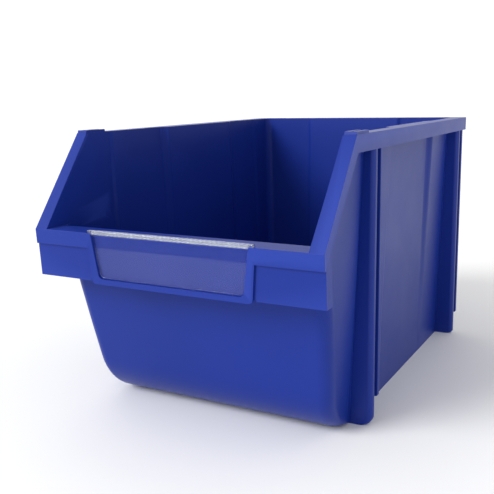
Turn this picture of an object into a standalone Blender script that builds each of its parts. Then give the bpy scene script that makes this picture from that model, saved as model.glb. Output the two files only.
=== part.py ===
"""Stackable storage bin with a hopper front and a swing-up label window.

Origin at the middle of the underside, +Z up, the pick opening faces -Y.
The design is written in millimetres and turned into metres in the meshes.
"""
import math

import bmesh
import bpy
from mathutils import Matrix, Vector

MM = 0.001

# Outer sizes
LENGTH = 336.0
WIDTH = 216.0
RIM_Z = 200.0
FRONT_Y = -LENGTH / 2
REAR_Y = LENGTH / 2
HALF_WIDTH = WIDTH / 2

# Tub walls
WALL = 2.2
BASE_HALF_WIDTH = 92.0
TOP_HALF_WIDTH = 101.7
FRONT_FOOT_Y = -120.2
FRONT_LEAN = 0.235
FRONT_CURVE = 43.0
REAR_FOOT_Y = 153.0
REAR_TOP_Y = 161.0
CORNER_RADIUS = 9.0
REAR_PANEL_HALF = 48.0
REAR_PANEL_STEP = 4.0
REAR_PANEL_INSET = 2.0
PANEL_POWER = 0.7
CURVE_STEPS = 6
ARC_STEPS = 5
WALL_LEVELS = (60.0, 90.0, 120.0, 145.0, 170.0)

# Side wall relief: where a step starts and ends along Y, and how far the wall
# is set in behind that step, at rim height
FRONT_ZONE_END = (-97.0, -90.0)
SIDE_STEPS = (
    (-94.5, -90.5, 1.0),
    (-30.0, -22.0, 6.0),
    (76.0, 86.0, 2.5),
    (126.0, 134.0, 3.7),
)
STEP_POINTS = [y for start, end, _ in SIDE_STEPS for y in (start, (start + end) / 2, end)]
REAR_POINTS = [REAR_PANEL_HALF - REAR_PANEL_STEP * part for part in (0.0, 0.5, 1.0)]

# Rim and its skirt
PLATE = 2.2
SKIRT_DROP = 11.0
RIM_CORNER = 6.0
RIM_RUN_ON = 8.0

# Slanted edges of the hopper front, and the opening between them
SLANT_TOP_Y = -119.1
SLANT_INNER_X = 99.5
SLANT_OUTER_SET = 2.5
SKIRT_SET = 11.0
SLANT_THICK = 2.78
MOUTH_STEP = 0.4
MOUTH_REAR_Y = -104.0
MOUTH_LEVELS = (160.0, 180.0)
CHEEK_TOP_Z = 156.0
CHEEK_REAR_Y = (-144.0, -148.5)
SHELL_REAR_Y = -80.0

# Lip above the grip
LIP_Z = 136.9
LIP_TOP_Z = 137.3
LIP_BOTTOM_Z = 104.1
LIP_LEAN = 0.045
LIP_RETURN = 10.5
PANEL_DEPTH = 1.6
BAND_BOTTOM_Z = 127.0

# Label pocket and its frame
FRAME_BOTTOM_Z = 102.5
FRAME_TOP_HALF = 63.2
FRAME_BOTTOM_HALF = 61.0
POCKET_TOP_HALF = 59.8
POCKET_BOTTOM_HALF = 55.2
POCKET_BOTTOM_Z = 106.2
POCKET_DEPTH = 2.8
POCKET_BACK = 5.6
POCKET_CORNER = 4.0
FRAME_CORNER = 2.6

# Label window and its hinge
COVER_THICK = 1.2
COVER_GAP = 0.6
COVER_TOP_HALF = 59.0
COVER_BOTTOM_HALF = 54.4
COVER_BOTTOM_Z = 106.9
HINGE_Z = 137.5
HINGE_DEPTH = POCKET_DEPTH - COVER_GAP
BAR_RADIUS = 1.65
PIN_RADIUS = 1.5
PIN_END_X = 62.6
EDGE_BEAD = 1.1
BEAD_RISE = 0.35
COVER_CORNER = 3.4
RECESS_CORNER = 2.6
SOCKET_END_X = 63.1
SOCKET_RADIUS = 1.8
TROUGH_RADIUS = 2.2

# Outer ribs: a wide one that ends as a foot, then a slot and a narrow one behind it
RIB_X = 107.7
RIB_TOP_Z = 198.6
NARROW_RIB_BOTTOM_Z = 18.0
RIB_WIDTH = 5.4
SLOT_WIDTH = 6.6
NARROW_RIB_WIDTH = 3.0
RIB_FRONT_Y = (-86.3, 137.0)
RIB_LEVELS = (160.0, 120.0, 80.0, 40.0)
FOOT_ROUND = (7.0, 3.0)

# Stacking stops on the front ends of the side rims
STOP_RISE = 1.8
STOP_REAR_Y = -98.0
STOP_DRAFT = 0.6
STOP_SIDE_SET = 0.3
STOP_SLOT_DEPTH = 1.4
STOP_SLOT_HALF = 1.3
STOP_SLOT_Y = -113.0
STOP_SLOT_END = 4.0
STOP_HOLE_Y = -116.0
STOP_HOLE_RADIUS = 1.5
STOP_HOLE_DEPTH = 2.6

# Sides of a round cut and of a round bar
CUT_SIDES = 16
BAR_SIDES = 12

# Pieces that are joined sink this far into each other, and cutters pass this far through
SINK = 1.0
OVERCUT = 10.0

BLUE = (0.022, 0.045, 0.30, 1.0)
BLUE_ROUGHNESS = 0.42
CLEAR = (0.80, 0.84, 0.90, 0.35)
CLEAR_ROUGHNESS = 0.08


def clear_scene():
    for obj in list(bpy.data.objects):
        bpy.data.objects.remove(obj, do_unlink=True)


def smooth_step(value, start, end):
    """0 before start, 1 after end, with a soft change between."""
    t = min(max((value - start) / (end - start), 0.0), 1.0)
    return t * t * (3.0 - 2.0 * t)


def make_object(name, bm):
    """Turn a bmesh in millimetres into an object in metres."""
    bmesh.ops.scale(bm, vec=Vector((MM, MM, MM)), verts=bm.verts)
    bmesh.ops.recalc_face_normals(bm, faces=bm.faces)
    mesh = bpy.data.meshes.new(name)
    bm.to_mesh(mesh)
    bm.free()
    obj = bpy.data.objects.new(name, mesh)
    bpy.context.collection.objects.link(obj)
    return obj


def skin(rings, name):
    """Close a stack of equal point rings into one solid."""
    bm = bmesh.new()
    rows = [[bm.verts.new(point) for point in ring] for ring in rings]
    for lower, upper in zip(rows, rows[1:]):
        for i, corner in enumerate(lower):
            j = (i + 1) % len(lower)
            bm.faces.new((corner, lower[j], upper[j], upper[i]))
    bm.faces.new(list(reversed(rows[0])))
    bm.faces.new(rows[-1])
    return make_object(name, bm)


def prism_x(outline_yz, x_low, x_high, name):
    """A YZ outline pushed along X."""
    rings = [[(x, y, z) for y, z in outline_yz] for x in (x_low, x_high)]
    return skin(rings, name)


def lip_y(depth, z):
    """Y of a point that lies at some depth behind the leaning lip face."""
    return FRONT_Y + (LIP_Z - z) * LIP_LEAN + depth


def lip_prism(outline_xz, depth_low, depth_high, name):
    """An XZ outline on the lip face, pushed into the lip."""
    rings = [
        [(x, lip_y(depth, z), z) for x, z in outline_xz]
        for depth in (depth_low, depth_high)
    ]
    return skin(rings, name)


def circle(radius, sides):
    """Points of a circle round the origin of its own plane."""
    points = []
    for i in range(sides):
        angle = 2 * math.pi * i / sides
        points.append((radius * math.cos(angle), radius * math.sin(angle)))
    return points


def hinge_rod(radius, half_length, sides, name):
    """A round bar along the hinge axis."""
    axis_y = lip_y(HINGE_DEPTH, HINGE_Z)
    outline = [(axis_y + y, HINGE_Z + z) for y, z in circle(radius, sides)]
    return prism_x(outline, -half_length, half_length, name)


def rounded(points, radii, steps=4):
    """Replace each corner of an outline with an arc of the given radius."""
    result = []
    for i, radius in enumerate(radii):
        corner = Vector(points[i])
        if radius == 0:
            result.append(tuple(corner))
            continue
        before = (Vector(points[i - 1]) - corner).normalized()
        after = (Vector(points[(i + 1) % len(points)]) - corner).normalized()
        half = before.angle(after) / 2
        centre = corner + (before + after).normalized() * radius / math.sin(half)
        start = corner + before * radius / math.tan(half) - centre
        end = corner + after * radius / math.tan(half) - centre
        for k in range(steps + 1):
            arm = start.lerp(end, k / steps)
            result.append(tuple(centre + arm.normalized() * radius))
    return result


def side_x(y, z):
    """Half width of the tub's outer face at a point along its side."""
    t = z / RIM_Z
    front = 1.0 - smooth_step(y, *FRONT_ZONE_END)
    spread = front * (1.0 - (1.0 - t) ** 2) + (1.0 - front) * t
    inset = 0.0
    last = 0.0
    for start, end, depth in SIDE_STEPS:
        inset += (depth - last) * smooth_step(y, start, end)
        last = depth
    return BASE_HALF_WIDTH + (TOP_HALF_WIDTH - BASE_HALF_WIDTH) * spread - inset * t ** PANEL_POWER


def front_y(z, inset):
    """Y of the front wall, inset from its outer face, with its curved foot."""
    angle = math.atan(FRONT_LEAN)
    centre_y = FRONT_FOOT_Y - FRONT_LEAN * FRONT_CURVE + FRONT_CURVE / math.cos(angle)
    radius = FRONT_CURVE - inset
    tangent_z = FRONT_CURVE - radius * math.sin(angle)
    if z >= tangent_z:
        return FRONT_FOOT_Y - FRONT_LEAN * z + inset / math.cos(angle)
    drop = FRONT_CURVE - z
    return centre_y - math.sqrt(max(radius * radius - drop * drop, 0.0))


def rear_y(x, z):
    """Y of the rear wall's outer face."""
    t = z / RIM_Z
    panel = 1.0 - smooth_step(abs(x), REAR_PANEL_HALF - REAR_PANEL_STEP, REAR_PANEL_HALF)
    return REAR_FOOT_Y + (REAR_TOP_Y - REAR_FOOT_Y) * t - REAR_PANEL_INSET * panel * t ** PANEL_POWER


def mirrored(right_half):
    """Complete a ring whose right half runs from the front to the rear."""
    return right_half + [(-x, y, z) for x, y, z in reversed(right_half)]


def tub_ring(z, inset):
    """Points round the tub at one height, inset from its outer face."""
    radius = CORNER_RADIUS - inset
    front = front_y(z, inset)
    centre_y = front + radius
    points = []
    for k in range(ARC_STEPS + 1):
        angle = math.pi / 2 * k / ARC_STEPS
        y = centre_y - radius * math.cos(angle)
        x = side_x(centre_y, z) - inset - radius * (1.0 - math.sin(angle))
        points.append((x, y, z))
    for k, step_y in enumerate(STEP_POINTS):
        y = max(step_y, centre_y + 0.5 * (k + 1))
        points.append((side_x(y, z) - inset, y, z))
    rear = rear_y(BASE_HALF_WIDTH, z) - inset
    centre_y = rear - radius
    centre_x = side_x(centre_y, z) - inset - radius
    for k in range(ARC_STEPS + 1):
        angle = math.pi / 2 * k / ARC_STEPS
        points.append((centre_x + radius * math.cos(angle), centre_y + radius * math.sin(angle), z))
    for x in REAR_POINTS:
        points.append((x, rear_y(x, z) - inset, z))
    return mirrored(points)


def rim_ring(z, inset):
    """Points round the rim, in step with the tub's rings."""
    side = HALF_WIDTH - inset
    rear = REAR_Y - inset
    front = FRONT_Y - RIM_RUN_ON + inset
    radius = RIM_CORNER - inset
    points = []
    for k in range(ARC_STEPS + 1):
        angle = math.pi / 2 * k / ARC_STEPS
        x = side - radius * (1.0 - math.sin(angle))
        points.append((x, front + radius * (1.0 - math.cos(angle)), z))
    for y in STEP_POINTS:
        points.append((side, y, z))
    for k in range(ARC_STEPS + 1):
        angle = math.pi / 2 * k / ARC_STEPS
        x = side - radius * (1.0 - math.cos(angle))
        points.append((x, rear - radius * (1.0 - math.sin(angle)), z))
    for x in REAR_POINTS:
        points.append((x, rear, z))
    return mirrored(points)


def tub():
    """Walls, floor and rim as one skin, with the front still full height."""
    curve_end = math.pi / 2 - math.atan(FRONT_LEAN)
    rings = []
    for k in range(CURVE_STEPS + 1):
        rise = FRONT_CURVE * (1.0 - math.cos(curve_end * k / CURVE_STEPS))
        rings.append(tub_ring(rise, 0.0))
    rings += [tub_ring(z, 0.0) for z in WALL_LEVELS]
    rings.append(tub_ring(RIM_Z - PLATE, 0.0))
    rings.append(rim_ring(RIM_Z - PLATE, WALL))
    rings.append(rim_ring(RIM_Z - SKIRT_DROP, WALL))
    rings.append(rim_ring(RIM_Z - SKIRT_DROP, 0.0))
    rings.append(rim_ring(RIM_Z, 0.0))
    rings.append(tub_ring(RIM_Z, WALL))
    rings += [tub_ring(z, WALL) for z in reversed(WALL_LEVELS)]
    for k in reversed(range(CURVE_STEPS + 1)):
        rise = (FRONT_CURVE - WALL) * (1.0 - math.cos(curve_end * k / CURVE_STEPS))
        rings.append(tub_ring(rise + WALL, WALL))
    return skin(rings, "bin_body")


def slant_y(z):
    """Y of the slanted front edge at a height."""
    return FRONT_Y + (z - LIP_Z) * (SLANT_TOP_Y - FRONT_Y) / (RIM_Z - LIP_Z)


def mouth_half(z):
    """Half width of the opening between the slanted edges."""
    return side_x(FRONT_Y, min(z, RIM_Z)) - WALL - MOUTH_STEP


def front_cutters():
    """What is taken away to open the hopper front."""
    above = RIM_Z + OVERCUT
    below = LIP_Z - 2.0 * OVERCUT
    near = slant_y(below)
    far = near - 2.0 * OVERCUT
    reach = HALF_WIDTH + OVERCUT
    outline = [(slant_y(above), above), (near, below), (far, below), (far, above)]
    wedge = prism_x(outline, -reach, reach, "cut_slant")
    rear = MOUTH_REAR_Y
    rings = []
    for z in (LIP_TOP_Z, *MOUTH_LEVELS, above):
        half = mouth_half(z)
        rings.append([(-half, near, z), (half, near, z), (half, rear, z), (-half, rear, z)])
    return [wedge, skin(rings, "cut_mouth")]


def front_shell():
    """Hollow band down both slanted edges, joined by the face of the lip."""
    low = FRAME_BOTTOM_Z
    high = RIM_Z - PLATE / 2
    turn = LIP_Z + 3.0
    back = LIP_Z - 2.0
    outline = [
        (slant_y(high) - SLANT_OUTER_SET, high),
        (lip_y(0.0, turn), turn),
        (lip_y(0.0, low), low),
        (lip_y(LIP_RETURN, low), low),
        (slant_y(back) + SKIRT_SET, back),
        (slant_y(high) + SKIRT_SET, high),
    ]
    shell = prism_x(outline, -HALF_WIDTH, HALF_WIDTH, "front_shell")
    plate = PLATE + PANEL_DEPTH
    under = low - OVERCUT
    bend = LIP_Z + 1.24
    over = RIM_Z + OVERCUT / 2
    outline = [
        (lip_y(plate, under), under),
        (lip_y(plate, bend), bend),
        (slant_y(over) + SLANT_THICK, over),
        (SHELL_REAR_Y, over),
        (SHELL_REAR_Y, under),
    ]
    hollow = prism_x(outline, WALL - HALF_WIDTH, HALF_WIDTH - WALL, "cut_shell")
    combine(shell, hollow, "DIFFERENCE")
    return shell


def cheek(side):
    """Side wall that runs on from the tub to the slanted edge."""
    low = LIP_TOP_Z - 1.2
    high = CHEEK_TOP_Z
    low_rear, high_rear = CHEEK_REAR_Y
    outline = [
        (slant_y(low) + 1.5 * SINK, low),
        (low_rear, low),
        (high_rear, high),
        (slant_y(high) + SINK, high),
    ]
    rings = []
    for inset in (0.0, WALL + SINK):
        rings.append([(side * (side_x(y, z) - inset), y, z) for y, z in outline])
    return skin(rings, "cheek")


def trapezoid(top_half, bottom_half, low, high, radius):
    """Upside-down trapezoid with rounded lower corners."""
    points = [(-bottom_half, low), (bottom_half, low), (top_half, high), (-top_half, high)]
    return rounded(points, (radius, radius, 0, 0))


def lip_pieces():
    """Top of the lip, and the thicker wall behind the label pocket."""
    front = FRONT_Y + 2.0 * SINK
    rear = FRONT_FOOT_Y - FRONT_LEAN * LIP_Z + WALL / 2
    low = LIP_TOP_Z - PLATE
    top = LIP_TOP_Z + SINK
    half = mouth_half(LIP_Z) + 2.0 * MOUTH_STEP
    plate = prism_x([(front, low), (rear, low), (rear, top), (front, top)], -half, half, "lip_top")
    outline = trapezoid(
        FRAME_TOP_HALF,
        FRAME_BOTTOM_HALF - SINK / 2,
        FRAME_BOTTOM_Z + SINK / 2,
        LIP_TOP_Z - 1.3,
        POCKET_CORNER,
    )
    return [plate, lip_prism(outline, PLATE, POCKET_BACK, "lip_pad")]


def panel_cutter(side):
    """Shallow relief of the lip face beside the label frame."""
    low = FRAME_BOTTOM_Z - OVERCUT / 2
    lean = (FRAME_TOP_HALF - FRAME_BOTTOM_HALF) / (BAND_BOTTOM_Z - FRAME_BOTTOM_Z)
    foot = FRAME_TOP_HALF + (low - BAND_BOTTOM_Z) * lean
    reach = HALF_WIDTH + OVERCUT / 2
    top = BAND_BOTTOM_Z
    outline = [(foot, low), (reach, low), (reach, top), (FRAME_TOP_HALF, top)]
    return lip_prism([(side * x, z) for x, z in outline], -2.0 * SINK, PANEL_DEPTH, "cut_panel")


def foot_cutter(side):
    """Trims the lip to its lower edge beside the label frame."""
    low = FRAME_BOTTOM_Z - OVERCUT / 2
    reach = HALF_WIDTH + OVERCUT / 2
    edge = FRAME_BOTTOM_HALF + 0.2
    outline = [(edge, low), (reach, low), (reach, LIP_BOTTOM_Z), (edge, LIP_BOTTOM_Z)]
    rear = LIP_RETURN + 3.0 * SINK
    return lip_prism([(side * x, z) for x, z in outline], -4.0 * SINK, rear, "cut_foot")


def frame_corner_cutter(side):
    """Rounds the label frame's lower corner."""
    x = FRAME_BOTTOM_HALF
    low = FRAME_BOTTOM_Z
    size = FRAME_CORNER
    outer = x + 2.0 * SINK
    outline = [
        (x - size, low - SINK),
        (outer, low - SINK),
        (outer, low + size),
        (x + 0.3, low + size),
        (x - 0.3 * size, low + 0.3 * size),
        (x - size, low - 0.1),
    ]
    rear = POCKET_BACK + 4.0 * SINK
    return lip_prism([(side * x, z) for x, z in outline], -4.0 * SINK, rear, "cut_frame_corner")


def lip_cutters():
    """Label pocket, bar trough and pin sockets."""
    top = LIP_Z + 2.0 * SINK
    outline = trapezoid(POCKET_TOP_HALF, POCKET_BOTTOM_HALF, POCKET_BOTTOM_Z, top, POCKET_CORNER)
    pocket = lip_prism(outline, -2.0 * SINK, POCKET_DEPTH, "cut_pocket")
    trough = hinge_rod(TROUGH_RADIUS, POCKET_TOP_HALF + 0.2, CUT_SIDES, "cut_trough")
    socket = hinge_rod(SOCKET_RADIUS, SOCKET_END_X, CUT_SIDES, "cut_socket")
    cutters = [pocket, trough, socket]
    for side in (-1.0, 1.0):
        cutters += [panel_cutter(side), foot_cutter(side), frame_corner_cutter(side)]
    return cutters


def rib(side, front, width, low, foot_round):
    """Flat rib from the wall out to the skirt, with a rounded foot."""
    levels = [RIB_TOP_Z, *RIB_LEVELS, low]
    middle = front + width / 2
    outline = [(side_x(middle, z) - WALL / 2, z) for z in levels]
    outline += [(RIB_X, low), (RIB_X, RIB_TOP_Z)]
    radii = [0.0] * len(levels) + [foot_round, 0.0]
    outline = rounded(outline, radii)
    rings = [[(side * x, y, z) for x, z in outline] for y in (front, front + width)]
    return skin(rings, "rib")


def ribs(side):
    """Wide rib that ends as a foot, and a narrow one behind it."""
    pieces = []
    for front, foot_round in zip(RIB_FRONT_Y, FOOT_ROUND):
        pieces.append(rib(side, front, RIB_WIDTH, 0.0, foot_round))
        narrow = front + RIB_WIDTH + SLOT_WIDTH
        pieces.append(rib(side, narrow, NARROW_RIB_WIDTH, NARROW_RIB_BOTTOM_Z, 1.0))
    return pieces


def stacking_stop(side):
    """Raised pad on the front end of a side rim."""
    low = RIM_Z - SINK
    top = RIM_Z + STOP_RISE
    outline = [
        (SLANT_TOP_Y, low),
        (SLANT_TOP_Y + STOP_DRAFT, top),
        (STOP_REAR_Y, top),
        (STOP_REAR_Y + STOP_DRAFT, low),
    ]
    inner = SLANT_INNER_X + STOP_SIDE_SET
    outer = HALF_WIDTH - STOP_SIDE_SET
    return prism_x(outline, side * inner, side * outer, "stacking_stop")


def stop_cutters(side):
    """Groove along the raised pad, and the small round hole ahead of it."""
    middle = side * (SLANT_INNER_X + HALF_WIDTH) / 2
    low = RIM_Z + STOP_RISE - STOP_SLOT_DEPTH
    top = RIM_Z + STOP_RISE + 3.0 * SINK
    rear = STOP_REAR_Y + STOP_SLOT_END
    outline = [(STOP_SLOT_Y, low), (STOP_SLOT_Y, top), (rear, top), (rear, low)]
    groove = prism_x(outline, middle - STOP_SLOT_HALF, middle + STOP_SLOT_HALF, "cut_groove")
    rings = []
    for z in (RIM_Z + STOP_RISE - STOP_HOLE_DEPTH, top):
        ring = [(middle + x, STOP_HOLE_Y + y, z) for x, y in circle(STOP_HOLE_RADIUS, CUT_SIDES)]
        rings.append(ring)
    return [groove, skin(rings, "cut_hole")]


def combine(target, tool, operation):
    """Union with a tool or cut by it; the tool itself stays out of the build."""
    modifier = target.modifiers.new(operation.lower(), "BOOLEAN")
    modifier.operation = operation
    modifier.solver = "EXACT"
    modifier.object = tool
    tool.hide_render = True
    tool.display_type = "WIRE"


def material(name, colour, roughness):
    mat = bpy.data.materials.new(name)
    mat.use_nodes = True
    shader = mat.node_tree.nodes["Principled BSDF"]
    shader.inputs["Base Color"].default_value = colour
    shader.inputs["Roughness"].default_value = roughness
    shader.inputs["Metallic"].default_value = 0.0
    shader.inputs["Alpha"].default_value = colour[3]
    return mat


def bin_body():
    """The moulded tub with its rim, lip, ribs, feet and label frame."""
    body = tub()
    pieces = [front_shell()]
    for side in (-1.0, 1.0):
        pieces.append(cheek(side))
        pieces += ribs(side)
    for piece in pieces + lip_pieces():
        combine(body, piece, "UNION")
    for tool in front_cutters() + lip_cutters():
        combine(body, tool, "DIFFERENCE")
    for side in (-1.0, 1.0):
        combine(body, stacking_stop(side), "UNION")
        for tool in stop_cutters(side):
            combine(body, tool, "DIFFERENCE")
    body.data.materials.append(material("moulded_blue", BLUE, BLUE_ROUGHNESS))
    return body


def label_cover():
    """Clear window that hangs from a bar along its top edge."""
    front = HINGE_DEPTH - COVER_THICK
    top = HINGE_Z - 0.2
    outline = trapezoid(COVER_TOP_HALF, COVER_BOTTOM_HALF, COVER_BOTTOM_Z, top, COVER_CORNER)
    sheet = lip_prism(outline, front, HINGE_DEPTH, "label_cover")
    outline = trapezoid(
        COVER_TOP_HALF - EDGE_BEAD,
        COVER_BOTTOM_HALF - EDGE_BEAD,
        COVER_BOTTOM_Z + EDGE_BEAD,
        HINGE_Z - BAR_RADIUS - SINK,
        RECESS_CORNER,
    )
    recess = lip_prism(outline, front - SINK, front + BEAD_RISE, "cut_recess")
    combine(sheet, hinge_rod(BAR_RADIUS, COVER_TOP_HALF, BAR_SIDES, "cover_bar"), "UNION")
    combine(sheet, hinge_rod(PIN_RADIUS, PIN_END_X, BAR_SIDES, "cover_pins"), "UNION")
    combine(sheet, recess, "DIFFERENCE")
    hinge = Vector((0.0, lip_y(HINGE_DEPTH, HINGE_Z), HINGE_Z)) * MM
    sheet.data.transform(Matrix.Translation(-hinge))
    sheet.location = hinge
    sheet.data.materials.append(material("clear_window", CLEAR, CLEAR_ROUGHNESS))
    return sheet


def main():
    clear_scene()
    bin_body()
    label_cover()


main()
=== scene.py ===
"""Looks for the stackable storage bin: moulded blue tub and clear label window."""
import math

import bmesh
import bpy
from mathutils import Matrix, Vector


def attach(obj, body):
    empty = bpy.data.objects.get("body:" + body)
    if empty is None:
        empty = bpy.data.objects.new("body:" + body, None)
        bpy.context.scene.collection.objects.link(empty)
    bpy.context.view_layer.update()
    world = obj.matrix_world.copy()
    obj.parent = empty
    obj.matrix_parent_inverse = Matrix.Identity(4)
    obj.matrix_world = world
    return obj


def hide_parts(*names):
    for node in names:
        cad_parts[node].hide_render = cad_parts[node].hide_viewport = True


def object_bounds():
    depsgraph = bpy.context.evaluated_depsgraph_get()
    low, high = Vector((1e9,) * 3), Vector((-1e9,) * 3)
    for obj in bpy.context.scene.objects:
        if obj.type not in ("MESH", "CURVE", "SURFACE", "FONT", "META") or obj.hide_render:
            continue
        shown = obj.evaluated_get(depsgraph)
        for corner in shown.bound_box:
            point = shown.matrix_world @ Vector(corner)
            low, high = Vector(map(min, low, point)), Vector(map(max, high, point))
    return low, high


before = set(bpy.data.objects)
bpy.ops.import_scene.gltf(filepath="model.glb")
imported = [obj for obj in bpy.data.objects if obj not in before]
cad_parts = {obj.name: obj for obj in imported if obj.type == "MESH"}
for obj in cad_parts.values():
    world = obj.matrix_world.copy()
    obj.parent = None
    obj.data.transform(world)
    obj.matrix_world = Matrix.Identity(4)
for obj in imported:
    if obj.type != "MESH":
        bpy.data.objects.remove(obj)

CAD_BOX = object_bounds()
MM = 0.001

# All lengths are in millimetres. The outer sizes come from the fixed frame.
STOP_RISE = 1.8
RIM_Z = CAD_BOX[1][2] / MM - STOP_RISE
FRONT_Y = CAD_BOX[0][1] / MM
REAR_Y = CAD_BOX[1][1] / MM
HALF_WIDTH = (CAD_BOX[1][0] - CAD_BOX[0][0]) / MM / 2

# Tub walls
WALL = 2.2
BASE_HALF_WIDTH = 92.0
TOP_HALF_WIDTH = 101.7
FRONT_FOOT_Y = -120.2
FRONT_LEAN = 0.235
FRONT_CURVE = 43.0
REAR_FOOT_Y = 153.0
REAR_TOP_Y = 161.0
CORNER_RADIUS = 9.0
REAR_PANEL_HALF = 48.0
REAR_PANEL_STEP = 4.0
REAR_PANEL_INSET = 2.0
PANEL_POWER = 0.7
FRONT_ZONE_END = (-97.0, -90.0)
SIDE_STEPS = (
    (-94.5, -90.5, 1.0),
    (-30.0, -22.0, 6.0),
    (76.0, 86.0, 2.5),
    (126.0, 134.0, 3.7),
)
WALL_LEVELS = (45.0, 60.0, 75.0, 90.0, 105.0, 120.0, 132.0, 145.0, 158.0, 170.0, 183.0)

# Rim and slanted hopper front
PLATE = 2.2
SKIRT_DROP = 11.0
RIM_CORNER = 6.0
RIM_RUN_ON = 8.0
SLANT_TOP_Y = -119.1
SLANT_INNER_X = 99.5
SLANT_OUTER_SET = 2.5
SLANT_THICK = 2.78
SKIRT_SET = 11.0
SHELL_REAR_Y = -80.0
MOUTH_STEP = 0.4
MOUTH_REAR_Y = -104.0
MOUTH_LEVELS = (160.0, 180.0)
CHEEK_TOP_Z = 156.0
CHEEK_REAR_Y = (-144.0, -148.5)

# Lip, label frame and pocket
LIP_Z = 136.9
LIP_TOP_Z = 137.3
LIP_BOTTOM_Z = 104.1
LIP_LEAN = 0.045
LIP_RETURN = 10.5
PANEL_DEPTH = 1.6
BAND_BOTTOM_Z = 127.0
FRAME_BOTTOM_Z = 102.5
FRAME_TOP_HALF = 63.2
FRAME_BOTTOM_HALF = 61.0
FRAME_CORNER = 2.6
POCKET_TOP_HALF = 59.8
POCKET_BOTTOM_HALF = 55.2
POCKET_BOTTOM_Z = 106.2
POCKET_DEPTH = 2.8
POCKET_BACK = 5.6
POCKET_CORNER = 4.0
SOCKET_END_X = 63.1
SOCKET_RADIUS = 1.8
TROUGH_RADIUS = 2.2

# Label window and its bar
COVER_THICK = 1.2
COVER_GAP = 0.6
COVER_TOP_HALF = 59.0
COVER_BOTTOM_HALF = 54.4
COVER_BOTTOM_Z = 106.9
COVER_CORNER = 3.4
COVER_EDGE_ROUND = 0.18
EDGE_BEAD = 1.1
BEAD_RISE = 0.35
RECESS_CORNER = 2.6
HAZE_TOP_Z = 127.2
HAZE_BLUR = 0.6
HINGE_Z = 137.5
HINGE_DEPTH = POCKET_DEPTH - COVER_GAP
PIN_RADIUS = 1.5
PIN_END_X = 62.6
BAR_RADIUS = 1.65
BAR_FLUTES = 6
BAR_TWIST = 3.3
BAR_FLUTE_DEPTH = 0.24
BAR_FADE = 3.0
# Scale and slant of the painted light streaks on the bar
PAINTED_STREAK_SCALE = 190.0
PAINTED_STREAK_SLOPE = (1.0, 0.0, -2.1)
EYE_HALF_X = 2.1
EYE_HALF_Z = 1.6
EYE_WIRE = 0.5

# Ribs, feet and stacking stops
RIB_X = 107.7
RIB_TOP_Z = 198.6
RIB_LEVELS = (160.0, 120.0, 80.0, 40.0)
RIB_WIDTH = 5.4
RIB_EDGE_ROUND = 3.4
RIB_FRONT_Y = (-86.3, 137.0)
FOOT_ROUND = (7.0, 3.0)
SLOT_WIDTH = 6.6
NARROW_RIB_WIDTH = 3.0
NARROW_RIB_BOTTOM_Z = 18.0
NARROW_FOOT_ROUND = 1.0
NARROW_EDGE_ROUND = 0.5
STOP_REAR_Y = -98.0
STOP_DRAFT = 0.6
STOP_SIDE_SET = 0.3
STOP_SLOT_DEPTH = 1.4
STOP_SLOT_HALF = 1.3
STOP_SLOT_Y = -113.0
STOP_SLOT_END = 4.0
STOP_HOLE_Y = -116.0
STOP_HOLE_RADIUS = 1.5
STOP_HOLE_DEPTH = 2.6

# How finely curves are cut, and how far parts sink together or cutters overrun
ARC_STEPS = 8
CURVE_STEPS = 12
CUT_SIDES = 24
HOLE_SIDES = 16
BAR_SIDES = 36
BAR_STEPS = 354
EYE_STEPS = 24
WIRE_SIDES = 12
SINK = 1.0
OVERCUT = 10.0
EDGE_ROUND = 0.42
REAR_POINTS = [REAR_PANEL_HALF - step for step in (0.0, 1.3, 2.7, REAR_PANEL_STEP)]
STEP_FRACTIONS = (0.0, 0.2, 0.4, 0.6, 0.8, 1.0)
STEP_POINTS = [start + (end - start) * f for start, end, _ in SIDE_STEPS for f in STEP_FRACTIONS]

# Colours and gloss
BLUE_SHADES = ((0.0075, 0.0250, 0.218, 1.0), (0.0092, 0.0285, 0.248, 1.0))
# Painted highlight colour for the sharp convex edges
EDGE_HIGHLIGHT_BLUE = (0.026, 0.056, 0.36, 1.0)
BLUE_ROUGHNESS = (0.30, 0.42)
BLUE_SPECULAR = 0.17
CLEAR_SHADES = ((0.80, 0.83, 0.90, 1.0), (0.86, 0.88, 0.94, 1.0))
CLEAR_ROUGHNESS = (0.03, 0.10)
CLEAR_IOR = 1.17
HAZED_CLARITY = 0.984
# Painted streak colours: dark bluish painted refraction, pale painted highlight
PAINTED_STREAK_SHADES = ((0.30, 0.34, 0.48, 1.0), (0.78, 0.80, 0.74, 1.0))
BAR_ROUGHNESS = (0.06, 0.16)
BAR_CLARITY = (0.70, 0.82)
BAR_IOR = 1.49
FLOOR_SHADES = ((0.93, 0.93, 0.93, 1.0), (0.94, 0.94, 0.94, 1.0))

# Studio: a white room, a little dimmer to the right, with a broad key and a weak side light
FLOOR_SIZE = 30000.0
HORIZON_LIGHT = (1.15, 0.85)
SKY_LIGHT = (0.85, 0.70)
DIM_SIDE = (-0.12, 0.30)
SKY_HEIGHT = (0.06, 0.50)
KEY_ENERGY = 2.2
KEY_ANGLE = 26.0
KEY_DIRECTION = (0.419, 0.726, -0.545)
SIDE_LIGHT_PLACE = (1.4, -0.45, 0.12)
SIDE_LIGHT_TARGET = (0.1, 0.0, 0.08)
SIDE_LIGHT_SIZE = (0.9, 0.22)
SIDE_LIGHT_POWER = 1.6

CAMERA_AZIMUTH = 29.34
CAMERA_ELEVATION = 11.66
CAMERA_ROLL = -1.30
CAMERA_PLACE = (0.2637, -0.5360, 0.2243)
CAMERA_SENSOR = 36.0
CAMERA_LENS = 53.74
CAMERA_SHIFT = (0.0067, 0.0008)


def smooth_step(value, start, end):
    """0 before start, 1 after end, with a soft change between."""
    t = min(max((value - start) / (end - start), 0.0), 1.0)
    return t * t * (3.0 - 2.0 * t)


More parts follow.
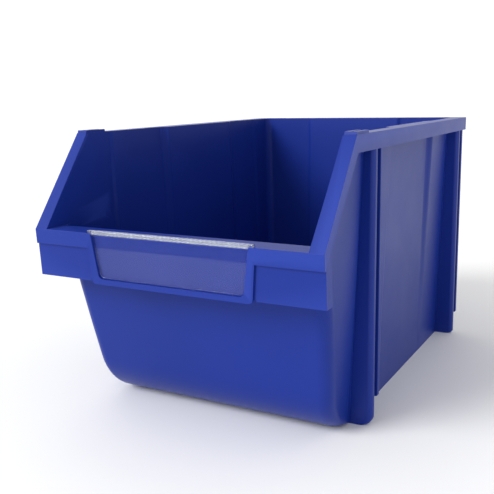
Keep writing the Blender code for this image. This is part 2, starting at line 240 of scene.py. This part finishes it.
def circle(radius, sides):
    """Points round a circle about the origin."""
    turns = [2 * math.pi * i / sides for i in range(sides)]
    return [(radius * math.cos(turn), radius * math.sin(turn)) for turn in turns]


def quarter_turn():
    """Sine and cosine at even steps through a right angle."""
    angles = [math.pi / 2 * k / ARC_STEPS for k in range(ARC_STEPS + 1)]
    return [(math.sin(angle), math.cos(angle)) for angle in angles]


def make_object(name, bm):
    """Turn a bmesh in millimetres into an object in metres."""
    bmesh.ops.scale(bm, vec=Vector((MM, MM, MM)), verts=bm.verts)
    bmesh.ops.recalc_face_normals(bm, faces=bm.faces)
    mesh = bpy.data.meshes.new(name)
    bm.to_mesh(mesh)
    bm.free()
    obj = bpy.data.objects.new(name, mesh)
    bpy.context.scene.collection.objects.link(obj)
    return obj


def skin(rings, name):
    """Close a stack of equal point rings into one solid."""
    bm = bmesh.new()
    rows = [[bm.verts.new(point) for point in ring] for ring in rings]
    for lower, upper in zip(rows, rows[1:]):
        for i, corner in enumerate(lower):
            j = (i + 1) % len(lower)
            bm.faces.new((corner, lower[j], upper[j], upper[i]))
    bm.faces.new(list(reversed(rows[0])))
    bm.faces.new(rows[-1])
    return make_object(name, bm)


def prism_x(outline_yz, x_low, x_high, name):
    """A YZ outline pushed along X."""
    return skin([[(x, y, z) for y, z in outline_yz] for x in (x_low, x_high)], name)


def lip_y(depth, z):
    """Y of a point that lies at some depth behind the leaning lip face."""
    return FRONT_Y + (LIP_Z - z) * LIP_LEAN + depth


def lip_prism(outline_xz, depth_low, depth_high, name):
    """An XZ outline on the lip face, pushed into the lip."""
    rings = [[(x, lip_y(depth, z), z) for x, z in outline_xz] for depth in (depth_low, depth_high)]
    return skin(rings, name)


def hinge_rod(radius, half_length, name):
    """A round bar along the hinge axis."""
    axis_y = lip_y(HINGE_DEPTH, HINGE_Z)
    ring = [(axis_y + a, HINGE_Z + b) for a, b in circle(radius, CUT_SIDES)]
    return prism_x(ring, -half_length, half_length, name)


def rounded(points, radii, steps=6):
    """Replace each corner of an outline with an arc of the given radius."""
    result = []
    count = len(points)
    for i, radius in enumerate(radii):
        corner = Vector(points[i])
        if radius == 0:
            result.append(tuple(corner))
            continue
        before = (Vector(points[i - 1]) - corner).normalized()
        after = (Vector(points[(i + 1) % count]) - corner).normalized()
        half = before.angle(after) / 2
        centre = corner + (before + after).normalized() * radius / math.sin(half)
        start = corner + before * radius / math.tan(half) - centre
        end = corner + after * radius / math.tan(half) - centre
        for k in range(steps + 1):
            arm = start.lerp(end, k / steps)
            result.append(tuple(centre + arm.normalized() * radius))
    return result


def side_x(y, z):
    """Half width of the tub's outer face at a point along its side."""
    t = z / RIM_Z
    front = 1.0 - smooth_step(y, *FRONT_ZONE_END)
    spread = front * (1.0 - (1.0 - t) ** 2) + (1.0 - front) * t
    inset = 0.0
    last = 0.0
    for start, end, depth in SIDE_STEPS:
        inset += (depth - last) * smooth_step(y, start, end)
        last = depth
    return BASE_HALF_WIDTH + (TOP_HALF_WIDTH - BASE_HALF_WIDTH) * spread - inset * t ** PANEL_POWER


def front_y(z, inset):
    """Y of the front wall, inset from its outer face, with its curved foot."""
    angle = math.atan(FRONT_LEAN)
    centre_y = FRONT_FOOT_Y - FRONT_LEAN * FRONT_CURVE + FRONT_CURVE / math.cos(angle)
    radius = FRONT_CURVE - inset
    tangent_z = FRONT_CURVE - radius * math.sin(angle)
    if z >= tangent_z:
        return FRONT_FOOT_Y - FRONT_LEAN * z + inset / math.cos(angle)
    drop = FRONT_CURVE - z
    return centre_y - math.sqrt(max(radius * radius - drop * drop, 0.0))


def rear_y(x, z):
    """Y of the rear wall's outer face."""
    t = z / RIM_Z
    panel = 1.0 - smooth_step(abs(x), REAR_PANEL_HALF - REAR_PANEL_STEP, REAR_PANEL_HALF)
    return REAR_FOOT_Y + (REAR_TOP_Y - REAR_FOOT_Y) * t - REAR_PANEL_INSET * panel * t ** PANEL_POWER


def mirrored(right_half):
    """Complete a ring whose right half runs from the front to the rear."""
    return right_half + [(-x, y, z) for x, y, z in reversed(right_half)]


def tub_ring(z, inset):
    """Points round the tub at one height, inset from its outer face."""
    radius = CORNER_RADIUS - inset
    centre_y = front_y(z, inset) + radius
    points = []
    for sine, cosine in quarter_turn():
        x = side_x(centre_y, z) - inset - radius * (1.0 - sine)
        points.append((x, centre_y - radius * cosine, z))
    for k, step_y in enumerate(STEP_POINTS):
        y = max(step_y, centre_y + 0.2 * (k + 1))
        points.append((side_x(y, z) - inset, y, z))
    centre_y = rear_y(BASE_HALF_WIDTH, z) - inset - radius
    centre_x = side_x(centre_y, z) - inset - radius
    for sine, cosine in quarter_turn():
        points.append((centre_x + radius * cosine, centre_y + radius * sine, z))
    for x in REAR_POINTS:
        points.append((x, rear_y(x, z) - inset, z))
    return mirrored(points)


def rim_ring(z, inset):
    """Points round the rim, in step with the tub's rings."""
    side = HALF_WIDTH - inset
    rear = REAR_Y - inset
    front = FRONT_Y - RIM_RUN_ON + inset
    radius = RIM_CORNER - inset
    points = []
    for sine, cosine in quarter_turn():
        points.append((side - radius * (1.0 - sine), front + radius * (1.0 - cosine), z))
    for y in STEP_POINTS:
        points.append((side, y, z))
    for sine, cosine in quarter_turn():
        points.append((side - radius * (1.0 - cosine), rear - radius * (1.0 - sine), z))
    for x in REAR_POINTS:
        points.append((x, rear, z))
    return mirrored(points)


def tub():
    """Walls, floor and rim as one skin, with the front still full height."""
    curve_end = math.pi / 2 - math.atan(FRONT_LEAN)
    rings = []
    for k in range(CURVE_STEPS + 1):
        rise = FRONT_CURVE * (1.0 - math.cos(curve_end * k / CURVE_STEPS))
        rings.append(tub_ring(rise, 0.0))
    rings += [tub_ring(z, 0.0) for z in WALL_LEVELS]
    rings.append(tub_ring(RIM_Z - PLATE, 0.0))
    rings.append(rim_ring(RIM_Z - PLATE, WALL))
    rings.append(rim_ring(RIM_Z - SKIRT_DROP, WALL))
    rings.append(rim_ring(RIM_Z - SKIRT_DROP, 0.0))
    rings.append(rim_ring(RIM_Z, 0.0))
    rings.append(tub_ring(RIM_Z, WALL))
    rings += [tub_ring(z, WALL) for z in reversed(WALL_LEVELS)]
    for k in reversed(range(CURVE_STEPS + 1)):
        rise = (FRONT_CURVE - WALL) * (1.0 - math.cos(curve_end * k / CURVE_STEPS))
        rings.append(tub_ring(rise + WALL, WALL))
    return skin(rings, "moulded_tub")


def slant_y(z):
    """Y of the slanted front edge at a height."""
    return FRONT_Y + (z - LIP_Z) * (SLANT_TOP_Y - FRONT_Y) / (RIM_Z - LIP_Z)


def mouth_half(z):
    """Half width of the opening between the slanted edges."""
    return side_x(FRONT_Y, min(z, RIM_Z)) - WALL - MOUTH_STEP


def front_cutters():
    """What is taken away to open the hopper front."""
    above = RIM_Z + OVERCUT
    below = LIP_Z - 2.0 * OVERCUT
    ahead = slant_y(below)
    clear = ahead - 2.0 * OVERCUT
    reach = HALF_WIDTH + OVERCUT
    outline = [(slant_y(above), above), (ahead, below), (clear, below), (clear, above)]
    wedge = prism_x(outline, -reach, reach, "cut_slant")
    rings = []
    for z in (LIP_TOP_Z, *MOUTH_LEVELS, above):
        half = mouth_half(z)
        rings.append([(-half, ahead, z), (half, ahead, z), (half, MOUTH_REAR_Y, z), (-half, MOUTH_REAR_Y, z)])
    return [wedge, skin(rings, "cut_mouth")]


def front_shell():
    """Hollow band down both slanted edges, joined by the face of the lip."""
    low = FRAME_BOTTOM_Z
    high = RIM_Z - 1.1
    turn = LIP_Z + 3.0
    back = LIP_Z - 2.0
    outline = [
        (slant_y(high) - SLANT_OUTER_SET, high),
        (lip_y(0.0, turn), turn),
        (lip_y(0.0, low), low),
        (lip_y(LIP_RETURN, low), low),
        (slant_y(back) + SKIRT_SET, back),
        (slant_y(high) + SKIRT_SET, high),
    ]
    shell = prism_x(outline, -HALF_WIDTH, HALF_WIDTH, "front_shell")
    plate = PLATE + PANEL_DEPTH
    hollow = prism_x(
        [
            (lip_y(plate, low - OVERCUT), low - OVERCUT),
            (lip_y(plate, LIP_Z + 1.24), LIP_Z + 1.24),
            (slant_y(RIM_Z + 5.0) + SLANT_THICK, RIM_Z + 5.0),
            (SHELL_REAR_Y, RIM_Z + 5.0),
            (SHELL_REAR_Y, low - OVERCUT),
        ],
        WALL - HALF_WIDTH,
        HALF_WIDTH - WALL,
        "cut_shell",
    )
    combine(shell, hollow, "DIFFERENCE")
    return shell


def cheek(side):
    """Side wall that runs on from the tub to the slanted edge."""
    low = LIP_TOP_Z - 1.2
    high = CHEEK_TOP_Z
    outline = [
        (slant_y(low) + 1.5, low),
        (CHEEK_REAR_Y[0], low),
        (CHEEK_REAR_Y[1], high),
        (slant_y(high) + SINK, high),
    ]
    rings = []
    for inset in (0.0, WALL + SINK):
        rings.append([(side * (side_x(y, z) - inset), y, z) for y, z in outline])
    return skin(rings, "cheek")


def trapezoid(top_half, bottom_half, low, high, radius):
    """Upside-down trapezoid with rounded lower corners."""
    points = [(-bottom_half, low), (bottom_half, low), (top_half, high), (-top_half, high)]
    return rounded(points, (radius, radius, 0, 0))


def lip_pieces():
    """Top of the lip, and the thicker wall behind the label pocket."""
    rear = FRONT_FOOT_Y - FRONT_LEAN * LIP_Z + WALL / 2
    front = FRONT_Y + 2.0
    low = LIP_TOP_Z - PLATE
    top = LIP_TOP_Z + SINK
    half = mouth_half(LIP_Z) + 0.8
    plate = prism_x([(front, low), (rear, low), (rear, top), (front, top)], -half, half, "lip_top")
    outline = trapezoid(
        FRAME_TOP_HALF, FRAME_BOTTOM_HALF - 0.5, FRAME_BOTTOM_Z + 0.5, LIP_TOP_Z - 1.3, POCKET_CORNER
    )
    return [plate, lip_prism(outline, PLATE, POCKET_BACK, "lip_pad")]


def panel_cutter(side):
    """Shallow relief of the lip face beside the label frame."""
    low = FRAME_BOTTOM_Z - 5.0
    lean = (FRAME_TOP_HALF - FRAME_BOTTOM_HALF) / (BAND_BOTTOM_Z - FRAME_BOTTOM_Z)
    foot = FRAME_TOP_HALF + (low - BAND_BOTTOM_Z) * lean
    reach = HALF_WIDTH + 5.0
    outline = [(foot, low), (reach, low), (reach, BAND_BOTTOM_Z), (FRAME_TOP_HALF, BAND_BOTTOM_Z)]
    return lip_prism([(side * x, z) for x, z in outline], -2.0, PANEL_DEPTH, "cut_panel")


def foot_cutter(side):
    """Trims the lip to its lower edge beside the label frame."""
    low = FRAME_BOTTOM_Z - 5.0
    reach = HALF_WIDTH + 5.0
    edge = FRAME_BOTTOM_HALF + 0.2
    outline = [(edge, low), (reach, low), (reach, LIP_BOTTOM_Z), (edge, LIP_BOTTOM_Z)]
    return lip_prism([(side * x, z) for x, z in outline], -4.0, LIP_RETURN + 3.0, "cut_foot")


def frame_corner_cutter(side):
    """Rounds the label frame's lower corner."""
    x = FRAME_BOTTOM_HALF
    low = FRAME_BOTTOM_Z
    size = FRAME_CORNER
    outline = [
        (x - size, low - 1.0),
        (x + 2.0, low - 1.0),
        (x + 2.0, low + size),
        (x + 0.3, low + size),
        (x - 0.3 * size, low + 0.3 * size),
        (x - size, low - 0.1),
    ]
    return lip_prism([(side * x, z) for x, z in outline], -4.0, POCKET_BACK + 4.0, "cut_frame_corner")


def lip_cutters():
    """Label pocket, bar trough and pin sockets."""
    outline = trapezoid(POCKET_TOP_HALF, POCKET_BOTTOM_HALF, POCKET_BOTTOM_Z, LIP_Z + 2.0, POCKET_CORNER)
    pocket = lip_prism(outline, -2.0, POCKET_DEPTH, "cut_pocket")
    trough = hinge_rod(TROUGH_RADIUS, POCKET_TOP_HALF + 0.2, "cut_trough")
    socket = hinge_rod(SOCKET_RADIUS, SOCKET_END_X, "cut_socket")
    cutters = [pocket, trough, socket]
    for side in (-1.0, 1.0):
        cutters += [panel_cutter(side), foot_cutter(side), frame_corner_cutter(side)]
    return cutters


def rib(side, front, width, low, foot_round, edge_round):
    """Flat rib from the wall out to the skirt, with a rounded foot and front edge."""
    levels = [RIB_TOP_Z, *RIB_LEVELS, low]
    middle = front + width / 2
    wall = [(side_x(middle, z) - WALL / 2, z) for z in levels]
    slices = [(front + width, 0.0)]
    for sine, cosine in quarter_turn():
        slices.append((front + edge_round * (1.0 - cosine), edge_round * (1.0 - sine)))
    radii = [0.0] * len(wall) + [foot_round, 0.0]
    rings = []
    for y, inset in sorted(slices):
        outer = RIB_X - inset
        outline = rounded(wall + [(outer, low), (outer, RIB_TOP_Z)], radii)
        rings.append([(side * x, y, z) for x, z in outline])
    return skin(rings, "rib")


def ribs(side):
    """Wide rib that ends as a foot, and a narrow one behind it."""
    pieces = []
    for front, foot_round in zip(RIB_FRONT_Y, FOOT_ROUND):
        pieces.append(rib(side, front, RIB_WIDTH, 0.0, foot_round, RIB_EDGE_ROUND))
        narrow = front + RIB_WIDTH + SLOT_WIDTH
        pieces.append(
            rib(side, narrow, NARROW_RIB_WIDTH, NARROW_RIB_BOTTOM_Z, NARROW_FOOT_ROUND, NARROW_EDGE_ROUND)
        )
    return pieces


def stacking_stop(side):
    """Raised pad on the front end of a side rim."""
    outline = [
        (SLANT_TOP_Y, RIM_Z - SINK),
        (SLANT_TOP_Y + STOP_DRAFT, RIM_Z + STOP_RISE),
        (STOP_REAR_Y, RIM_Z + STOP_RISE),
        (STOP_REAR_Y + STOP_DRAFT, RIM_Z - SINK),
    ]
    inner = side * (SLANT_INNER_X + STOP_SIDE_SET)
    outer = side * (HALF_WIDTH - STOP_SIDE_SET)
    return prism_x(outline, inner, outer, "stacking_stop")


def stop_cutters(side):
    """Groove along the raised pad, and the small round hole ahead of it."""
    middle = side * (SLANT_INNER_X + HALF_WIDTH) / 2
    low = RIM_Z + STOP_RISE - STOP_SLOT_DEPTH
    top = RIM_Z + STOP_RISE + 3.0
    outline = [
        (STOP_SLOT_Y, low),
        (STOP_SLOT_Y, top),
        (STOP_REAR_Y + STOP_SLOT_END, top),
        (STOP_REAR_Y + STOP_SLOT_END, low),
    ]
    groove = prism_x(outline, middle - STOP_SLOT_HALF, middle + STOP_SLOT_HALF, "cut_groove")
    rings = []
    for z in (top - STOP_HOLE_DEPTH - 3.0, top):
        rings.append([(middle + a, STOP_HOLE_Y + b, z) for a, b in circle(STOP_HOLE_RADIUS, HOLE_SIDES)])
    return [groove, skin(rings, "cut_hole")]


TOOLS = []


def combine(target, tool, operation):
    """Union with a tool or cut by it."""
    modifier = target.modifiers.new(operation.lower(), "BOOLEAN")
    modifier.operation = operation
    modifier.solver = "EXACT"
    modifier.object = tool
    TOOLS.append(tool)


def bake(obj):
    """Replace an object's mesh with the result of its modifiers."""
    graph = bpy.context.evaluated_depsgraph_get()
    mesh = bpy.data.meshes.new_from_object(obj.evaluated_get(graph), depsgraph=graph)
    obj.modifiers.clear()
    obj.data = mesh


def remove_tools():
    """Clear away the solids that the last booleans used."""
    for tool in TOOLS:
        bpy.data.objects.remove(tool, do_unlink=True)
    TOOLS.clear()


def clean(obj):
    """Merge stray points and dissolve the flat seams that the cuts leave."""
    bm = bmesh.new()
    bm.from_mesh(obj.data)
    bmesh.ops.remove_doubles(bm, verts=bm.verts, dist=2e-5)
    bmesh.ops.dissolve_limit(
        bm,
        angle_limit=math.radians(0.05),
        verts=bm.verts,
        edges=bm.edges,
        use_dissolve_boundaries=False,
        delimit=set(),
    )
    bm.to_mesh(obj.data)
    bm.free()


def round_edges(obj, width):
    """Small radius along every sharp edge."""
    modifier = obj.modifiers.new("round", "BEVEL")
    modifier.limit_method = "ANGLE"
    modifier.angle_limit = math.radians(32.0)
    modifier.width = width * MM
    modifier.segments = 2
    modifier.use_clamp_overlap = True
    modifier.miter_outer = "MITER_ARC"
    bake(obj)


def smooth(obj):
    """Smooth shading that leaves the large flat walls flat."""
    for polygon in obj.data.polygons:
        polygon.use_smooth = True
    obj.data.set_sharp_from_angle(angle=math.radians(24.0))
    modifier = obj.modifiers.new("normals", "WEIGHTED_NORMAL")
    modifier.mode = "FACE_AREA"
    modifier.weight = 80
    modifier.keep_sharp = True
    bake(obj)


def build_bin():
    """The moulded tub with its rim, lip, ribs, feet and label frame."""
    body = tub()
    pieces = [front_shell()]
    for side in (-1.0, 1.0):
        pieces.append(cheek(side))
        pieces += ribs(side)
    for piece in pieces + lip_pieces():
        combine(body, piece, "UNION")
    for tool in front_cutters() + lip_cutters():
        combine(body, tool, "DIFFERENCE")
    for side in (-1.0, 1.0):
        combine(body, stacking_stop(side), "UNION")
        for tool in stop_cutters(side):
            combine(body, tool, "DIFFERENCE")
    bake(body)
    remove_tools()
    clean(body)
    round_edges(body, EDGE_ROUND)
    smooth(body)
    return body


def ribbed_bar():
    """Round bar whose skin is moulded in shallow slanting flutes that fade at its ends."""
    axis_y = lip_y(HINGE_DEPTH, HINGE_Z)
    end = COVER_TOP_HALF
    rings = []
    for k in range(BAR_STEPS + 1):
        x = -end + (end + end) * k / BAR_STEPS
        fade = smooth_step(x, -end, BAR_FADE - end) * (1.0 - smooth_step(x, end - BAR_FADE, end))
        ring = []
        for i in range(BAR_SIDES):
            angle = 2 * math.pi * i / BAR_SIDES
            flute = math.cos(BAR_FLUTES * angle + 2 * math.pi * x / BAR_TWIST)
            radius = BAR_RADIUS - BAR_FLUTE_DEPTH * fade * (0.5 - 0.5 * flute)
            ring.append((x, axis_y + radius * math.cos(angle), HINGE_Z + radius * math.sin(angle)))
        rings.append(ring)
    return skin(rings, "clear_ribbed_bar")


def eye(side):
    """Small flat ring at the end of the bar, facing forwards."""
    axis_y = lip_y(HINGE_DEPTH, HINGE_Z)
    middle = Vector((side * (PIN_END_X - EYE_HALF_X), axis_y, HINGE_Z))
    reach_x = EYE_HALF_X - EYE_WIRE
    reach_z = EYE_HALF_Z - EYE_WIRE
    bm = bmesh.new()
    loops = []
    for i in range(EYE_STEPS):
        turn = 2 * math.pi * i / EYE_STEPS
        outward = Vector((math.cos(turn), 0.0, math.sin(turn)))
        reach = Vector((reach_x * outward.x, 0.0, reach_z * outward.z))
        loop = []
        for k in range(WIRE_SIDES):
            angle = 2 * math.pi * k / WIRE_SIDES
            arm = outward * math.cos(angle) + Vector((0.0, math.sin(angle), 0.0))
            loop.append(bm.verts.new(middle + reach + arm * EYE_WIRE))
        loops.append(loop)
    for i, loop in enumerate(loops):
        after = loops[(i + 1) % EYE_STEPS]
        for k in range(WIRE_SIDES):
            j = (k + 1) % WIRE_SIDES
            bm.faces.new((loop[k], loop[j], after[j], after[k]))
    return make_object("bar_eye", bm)


def build_cover():
    """Clear window with a raised edge, hanging from a fluted bar with an eye at each end."""
    front = HINGE_DEPTH - COVER_THICK
    outline = trapezoid(COVER_TOP_HALF, COVER_BOTTOM_HALF, COVER_BOTTOM_Z, HINGE_Z - 0.2, COVER_CORNER)
    sheet = lip_prism(outline, front, HINGE_DEPTH, "clear_label_window")
    inner = trapezoid(
        COVER_TOP_HALF - EDGE_BEAD,
        COVER_BOTTOM_HALF - EDGE_BEAD,
        COVER_BOTTOM_Z + EDGE_BEAD,
        HINGE_Z - BAR_RADIUS - 1.0,
        RECESS_CORNER,
    )
    recess = lip_prism(inner, front - 1.0, front + BEAD_RISE, "cut_recess")
    pins = hinge_rod(PIN_RADIUS, PIN_END_X, "cover_pins")
    combine(sheet, pins, "UNION")
    combine(sheet, recess, "DIFFERENCE")
    bake(sheet)
    remove_tools()
    clean(sheet)
    round_edges(sheet, COVER_EDGE_ROUND)
    smooth(sheet)
    bar = ribbed_bar()
    for side in (-1.0, 1.0):
        combine(bar, eye(side), "UNION")
    bake(bar)
    remove_tools()
    smooth(bar)
    return sheet, bar


def map_range(tree, source, start, end, low, high):
    """Node whose result runs from low to high as the source runs from start to end."""
    node = tree.nodes.new("ShaderNodeMapRange")
    node.inputs["From Min"].default_value = start
    node.inputs["From Max"].default_value = end
    node.inputs["To Min"].default_value = low
    node.inputs["To Max"].default_value = high
    tree.links.new(source, node.inputs["Value"])
    return node


class Nodes:
    """Small helper for wiring a material."""

    def __init__(self, name):
        self.material = bpy.data.materials.new(name)
        self.material.use_nodes = True
        self.tree = self.material.node_tree
        self.shader = self.tree.nodes["Principled BSDF"]
        self.coords = self.tree.nodes.new("ShaderNodeTexCoord").outputs["Object"]

    def noise(self, scale, detail):
        node = self.tree.nodes.new("ShaderNodeTexNoise")
        node.inputs["Scale"].default_value = scale
        node.inputs["Detail"].default_value = detail
        self.tree.links.new(self.coords, node.inputs["Vector"])
        return node.outputs["Fac"]

    def ramp(self, source, stops):
        node = self.tree.nodes.new("ShaderNodeValToRGB")
        for element, (position, colour) in zip(node.color_ramp.elements, stops):
            element.position = position
            element.color = colour
        self.tree.links.new(source, node.inputs["Fac"])
        return node.outputs["Color"]

    def spread(self, source, low, high):
        return map_range(self.tree, source, 0.0, 1.0, low, high).outputs["Result"]

    def mix(self, factor, source, colour):
        """Source where the factor is 0, the fixed colour where it is 1."""
        node = self.tree.nodes.new("ShaderNodeMix")
        node.data_type = "RGBA"
        first, second = [s for s in node.inputs if s.name in ("A", "B") and s.type == "RGBA"]
        self.tree.links.new(factor, node.inputs["Factor"])
        self.tree.links.new(source, first)
        second.default_value = colour
        return [s for s in node.outputs if s.type == "RGBA"][0]

    def bump(self, source, strength, distance, before=None):
        node = self.tree.nodes.new("ShaderNodeBump")
        node.inputs["Strength"].default_value = strength
        node.inputs["Distance"].default_value = distance
        self.tree.links.new(source, node.inputs["Height"])
        if before is not None:
            self.tree.links.new(before, node.inputs["Normal"])
        return node.outputs["Normal"]

    def feed(self, socket, source):
        self.tree.links.new(source, self.shader.inputs[socket])

    def pointiness(self):
        return self.tree.nodes.new("ShaderNodeNewGeometry").outputs["Pointiness"]


def blue_plastic():
    """Satin moulded polypropylene: faint flow clouding, fine stipple, and a painted highlight that makes the
    sharp convex edges paler.
    """
    wires = Nodes("moulded_blue_plastic")
    body = wires.ramp(wires.noise(9.0, 3.0), zip((0.3, 0.7), BLUE_SHADES))
    # Painted highlight: the sharp convex edges get a paler blue.
    edge = wires.ramp(wires.pointiness(), [(0.52, (0, 0, 0, 1)), (0.60, (0.55, 0.55, 0.55, 1))])
    wires.feed("Base Color", wires.mix(edge, body, EDGE_HIGHLIGHT_BLUE))
    wires.feed("Roughness", wires.spread(wires.noise(38.0, 4.0), *BLUE_ROUGHNESS))
    stipple = wires.bump(wires.noise(2600.0, 2.0), 0.10, 0.0002)
    wires.feed("Normal", wires.bump(wires.noise(24.0, 2.0), 0.06, 0.002, stipple))
    wires.shader.inputs["Specular IOR Level"].default_value = BLUE_SPECULAR
    return wires.material


def let_lamps_through(wires):
    """Lamps and soft light reach what is behind the clear plastic."""
    nodes = wires.tree.nodes
    path = nodes.new("ShaderNodeLightPath")
    either = nodes.new("ShaderNodeMath")
    either.operation = "MAXIMUM"
    wires.tree.links.new(path.outputs["Is Shadow Ray"], either.inputs[0])
    wires.tree.links.new(path.outputs["Is Diffuse Ray"], either.inputs[1])
    through = nodes.new("ShaderNodeBsdfTransparent")
    choice = nodes.new("ShaderNodeMixShader")
    wires.tree.links.new(either.outputs[0], choice.inputs["Fac"])
    wires.tree.links.new(wires.shader.outputs["BSDF"], choice.inputs[1])
    wires.tree.links.new(through.outputs["BSDF"], choice.inputs[2])
    wires.tree.links.new(choice.outputs["Shader"], nodes["Material Output"].inputs["Surface"])


def clear_plastic():
    """Clear moulded plastic, faintly hazed and a little whiter below a set height."""
    wires = Nodes("clear_plastic")
    wires.feed("Base Color", wires.ramp(wires.noise(40.0, 2.0), zip((0.3, 0.7), CLEAR_SHADES)))
    wires.feed("Roughness", wires.spread(wires.noise(120.0, 3.0), *CLEAR_ROUGHNESS))
    wires.feed("Normal", wires.bump(wires.noise(60.0, 2.0), 0.02, 0.0003))
    height = wires.tree.nodes.new("ShaderNodeSeparateXYZ")
    wires.tree.links.new(wires.coords, height.inputs["Vector"])
    # Below HAZE_TOP_Z the window lets a little less light through, so it reads faintly whiter.
    lower_haze = map_range(
        wires.tree,
        height.outputs["Z"],
        (HAZE_TOP_Z - HAZE_BLUR) * MM,
        (HAZE_TOP_Z + HAZE_BLUR) * MM,
        HAZED_CLARITY,
        1.0,
    )
    lower_haze.interpolation_type = "SMOOTHSTEP"
    wires.feed("Transmission Weight", lower_haze.outputs["Result"])
    wires.shader.inputs["IOR"].default_value = CLEAR_IOR
    let_lamps_through(wires)
    return wires.material


def frosted_bar():
    """The same plastic, frosted, with painted pale and dark diagonal streaks: painted highlights and a
    painted refraction of the blue seen through the flutes.
    """
    wires = Nodes("ribbed_clear_plastic")
    # Painted light: pale streaks are painted highlights, dark bluish streaks a painted refraction of the blue
    # behind the flutes.
    painted_streaks = wires.tree.nodes.new("ShaderNodeTexWave")
    painted_streaks.bands_direction = "DIAGONAL"
    painted_streaks.inputs["Scale"].default_value = PAINTED_STREAK_SCALE
    painted_streaks.inputs["Distortion"].default_value = 0.8
    slope = wires.tree.nodes.new("ShaderNodeMapping")
    slope.inputs["Scale"].default_value = PAINTED_STREAK_SLOPE
    wires.tree.links.new(wires.coords, slope.inputs["Vector"])
    wires.tree.links.new(slope.outputs["Vector"], painted_streaks.inputs["Vector"])
    wires.feed("Base Color", wires.ramp(painted_streaks.outputs["Fac"], zip((0.25, 0.65), PAINTED_STREAK_SHADES)))
    wires.feed("Roughness", wires.spread(wires.noise(200.0, 3.0), *BAR_ROUGHNESS))
    wires.feed("Transmission Weight", wires.spread(wires.noise(150.0, 2.0), *BAR_CLARITY))
    wires.shader.inputs["IOR"].default_value = BAR_IOR
    let_lamps_through(wires)
    return wires.material


def pale_floor():
    """Matt white studio floor."""
    wires = Nodes("pale_floor")
    wires.feed("Base Color", wires.ramp(wires.noise(3.0, 2.0), zip((0.3, 0.7), FLOOR_SHADES)))
    wires.shader.inputs["Roughness"].default_value = 0.7
    return wires.material


def set_camera():
    """Camera that stands in front and to the right, a little above the rim."""
    azimuth = math.radians(CAMERA_AZIMUTH)
    elevation = math.radians(CAMERA_ELEVATION)
    roll = math.radians(CAMERA_ROLL)
    back = Vector((
        math.sin(azimuth) * math.cos(elevation),
        -math.cos(azimuth) * math.cos(elevation),
        math.sin(elevation),
    ))
    level = (-back).cross(Vector((0, 0, 1))).normalized()
    upright = level.cross(-back)
    right = level * math.cos(roll) + upright * math.sin(roll)
    up = upright * math.cos(roll) - level * math.sin(roll)
    data = bpy.data.cameras.new("camera")
    data.sensor_width = CAMERA_SENSOR
    data.lens = CAMERA_LENS
    data.shift_x, data.shift_y = CAMERA_SHIFT
    camera = bpy.data.objects.new("camera", data)
    bpy.context.scene.collection.objects.link(camera)
    place = Matrix((right, up, back)).transposed().to_4x4()
    place.translation = Vector(CAMERA_PLACE)
    camera.matrix_world = place
    bpy.context.scene.camera = camera


def add_light(data, direction, place=(0.0, 0.0, 0.0)):
    """Put a lamp in the scene, shining along a direction."""
    light = bpy.data.objects.new(data.name, data)
    bpy.context.scene.collection.objects.link(light)
    light.location = place
    light.rotation_euler = direction.to_track_quat("-Z", "Y").to_euler()


def set_lights():
    """A broad key from the front left, and a weak strip light on the right."""
    key = bpy.data.lights.new("key", "SUN")
    key.energy = KEY_ENERGY
    key.angle = math.radians(KEY_ANGLE)
    add_light(key, Vector(KEY_DIRECTION))
    side = bpy.data.lights.new("side", "AREA")
    side.shape = "RECTANGLE"
    side.size, side.size_y = SIDE_LIGHT_SIZE
    side.energy = SIDE_LIGHT_POWER
    add_light(side, Vector(SIDE_LIGHT_TARGET) - Vector(SIDE_LIGHT_PLACE), SIDE_LIGHT_PLACE)


def set_world():
    """White surroundings, brightest near the horizon and on the left."""
    world = bpy.data.worlds.new("studio")
    world.use_nodes = True
    tree = world.node_tree
    background = tree.nodes["Background"]
    coords = tree.nodes.new("ShaderNodeTexCoord")
    split = tree.nodes.new("ShaderNodeSeparateXYZ")
    tree.links.new(coords.outputs["Generated"], split.inputs["Vector"])
    height = map_range(tree, split.outputs["Z"], *SKY_HEIGHT, 0.0, 1.0)
    horizon = map_range(tree, split.outputs["X"], *DIM_SIDE, *HORIZON_LIGHT)
    sky = map_range(tree, split.outputs["X"], *DIM_SIDE, *SKY_LIGHT)
    blend = tree.nodes.new("ShaderNodeMix")
    blend.data_type = "FLOAT"
    for node, socket in zip((height, horizon, sky), (0, 2, 3)):
        tree.links.new(node.outputs["Result"], blend.inputs[socket])
    tree.links.new(blend.outputs[0], background.inputs["Strength"])
    background.inputs["Color"].default_value = (1.0, 1.0, 1.0, 1.0)
    bpy.context.scene.world = world


def set_stage():
    """Floor, surroundings and lamps."""
    bm = bmesh.new()
    bmesh.ops.create_grid(bm, x_segments=2, y_segments=2, size=FLOOR_SIZE)
    floor = make_object("studio_floor", bm)
    floor.data.materials.append(pale_floor())
    set_world()
    set_lights()
    bpy.context.scene.view_settings.view_transform = "Standard"


bin_mesh = build_bin()
bin_mesh.data.materials.clear()
bin_mesh.data.materials.append(blue_plastic())
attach(bin_mesh, "bin")
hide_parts("bin_body")

for cover_piece, surface in zip(build_cover(), (clear_plastic(), frosted_bar())):
    cover_piece.data.materials.clear()
    cover_piece.data.materials.append(surface)
    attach(cover_piece, "cover")
    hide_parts("label_cover")

set_stage()
set_camera()
